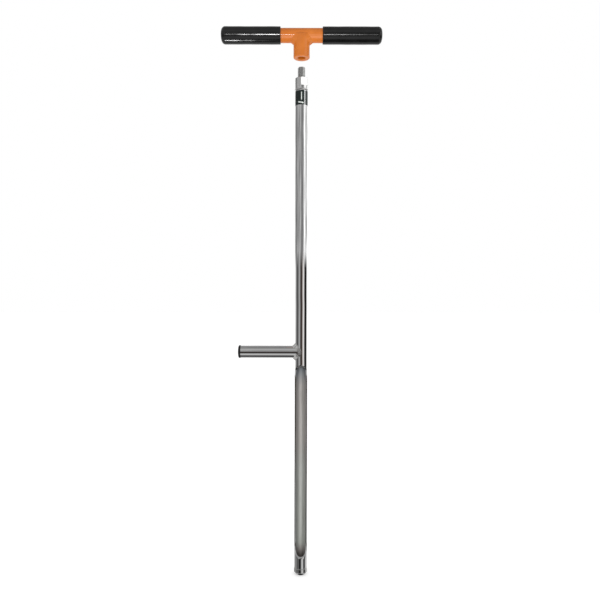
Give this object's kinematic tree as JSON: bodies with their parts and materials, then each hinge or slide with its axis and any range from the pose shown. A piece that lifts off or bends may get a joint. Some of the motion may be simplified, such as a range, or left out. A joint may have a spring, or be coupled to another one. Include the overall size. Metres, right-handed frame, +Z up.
{
  "type": "soil sampling probe",
  "caption": "Tube-type soil step probe: plated tube with a long sampling window, bevelled cutting tip, side foot step, threaded stud and a screw-on cross handle with two grips.",
  "frame": {"origin": "centre of the cutting edge, on the shaft's axis, at the lowest point of the tool", "axes": "+Z up the shaft towards the handle, -X along the foot step, the sampling window faces -Y"},
  "size_m": [0.2662, 0.028, 0.9004],
  "materials": {
    "plated_tube": "bright plated steel tube, satin inside the window",
    "plated_tip": "bright plated hardened steel with a ground bevel",
    "plated_collar": "turned steel, plated, two milled flats",
    "stud_steel": "rolled thread, dull plated",
    "weld_bead": "rippled weld metal under the plating",
    "printed_band": "dark green glossy film with plain light bars",
    "black_plug": "moulded black plastic",
    "orange_coat": "gloss orange powder coat",
    "black_grip": "smooth dipped black vinyl, semi-gloss"
  },
  "bodies": {
    "shaft": {"probe_tube": "plated_tube", "cutting_tip": "plated_tip", "top_collar": "plated_collar", "threaded_stud": "stud_steel", "collar_weld": "weld_bead", "label_band": "printed_band", "step_tube": "plated_tube", "step_end_plug": "black_plug", "step_weld": "weld_bead"},
    "handle": {"handle_bar": "orange_coat", "handle_socket": "orange_coat", "left_grip": "black_grip", "right_grip": "black_grip", "socket_weld": "orange_coat"}
  },
  "joints": [
    {"name": "handle_lift", "type": "slide", "parent": "shaft", "child": "handle", "axis": [0, 0, 1], "range_m": [-0.0331, 0]}
  ]
}
